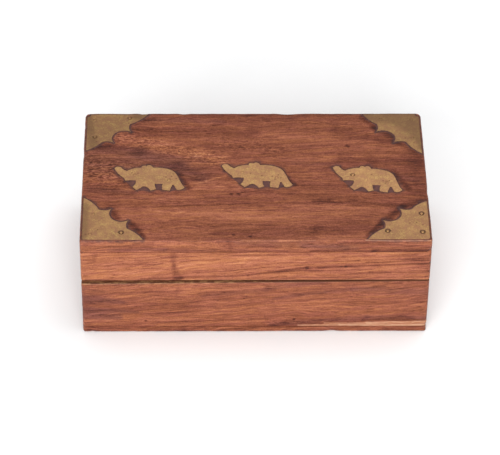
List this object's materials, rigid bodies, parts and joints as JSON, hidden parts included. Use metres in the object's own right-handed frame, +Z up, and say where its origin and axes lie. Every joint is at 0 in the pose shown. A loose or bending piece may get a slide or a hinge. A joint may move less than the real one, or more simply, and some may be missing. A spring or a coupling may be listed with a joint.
{
  "type": "inlaid wooden box",
  "caption": "Small hinged rosewood keepsake box with flush brass elephants and corner plates in the lid and a velvet lining.",
  "frame": {"origin": "centre of the underside of the bottom board", "axes": "+Z up, +X along the front to the right, the front faces -Y and the hinges are at +Y"},
  "size_m": [0.178, 0.102, 0.064],
  "materials": {
    "rosewood": "satin lacquer over figured reddish-brown rosewood",
    "inlay_brass": "aged sheet brass, filed flush with the wood",
    "filler": "dark resin and sawdust filler round the brass",
    "hinge_brass": "plain rolled brass",
    "steel": "plain steel wire",
    "velvet": "red velvet on card"
  },
  "bodies": {
    "base": {"base_front_board": "rosewood", "base_back_board": "rosewood", "base_left_board": "rosewood", "base_right_board": "rosewood", "base_bottom_board": "rosewood", "bottom_board_brads": "steel", "base_floor_lining": "velvet", "base_front_lining": "velvet", "base_back_lining": "velvet", "base_left_lining": "velvet", "base_right_lining": "velvet", "hinge_left_base_leaf": "hinge_brass", "hinge_left_base_screws": "hinge_brass", "hinge_left_pin": "hinge_brass", "hinge_right_base_leaf": "hinge_brass", "hinge_right_base_screws": "hinge_brass", "hinge_right_pin": "hinge_brass"},
    "lid": {"lid_top_board": "rosewood", "lid_front_rail": "rosewood", "lid_back_rail": "rosewood", "lid_left_rail": "rosewood", "lid_right_rail": "rosewood", "lid_top_lining": "velvet", "lid_front_lining": "velvet", "lid_back_lining": "velvet", "lid_left_lining": "velvet", "lid_right_lining": "velvet", "hinge_left_lid_leaf": "hinge_brass", "hinge_left_lid_screws": "hinge_brass", "hinge_right_lid_leaf": "hinge_brass", "hinge_right_lid_screws": "hinge_brass", "corner_plate_front_left": "inlay_brass", "corner_plate_front_left_filler": "filler", "corner_plate_front_left_nails": "inlay_brass", "corner_plate_front_right": "inlay_brass", "corner_plate_front_right_filler": "filler", "corner_plate_front_right_nails": "inlay_brass", "corner_plate_back_left": "inlay_brass", "corner_plate_back_left_filler": "filler", "corner_plate_back_left_nails": "inlay_brass", "corner_plate_back_right": "inlay_brass", "corner_plate_back_right_filler": "filler", "corner_plate_back_right_nails": "inlay_brass", "elephant_left": "inlay_brass", "elephant_left_filler": "filler", "elephant_left_nails": "inlay_brass", "elephant_centre": "inlay_brass", "elephant_centre_filler": "filler", "elephant_centre_nails": "inlay_brass", "elephant_right": "inlay_brass", "elephant_right_filler": "filler", "elephant_right_nails": "inlay_brass"}
  },
  "joints": [
    {"name": "lid_hinge", "type": "hinge", "parent": "base", "child": "lid", "pos_m": [0, 0.0495, 0.03555], "axis": [-1, 0, 0], "range_deg": [0, 105]}
  ]
}
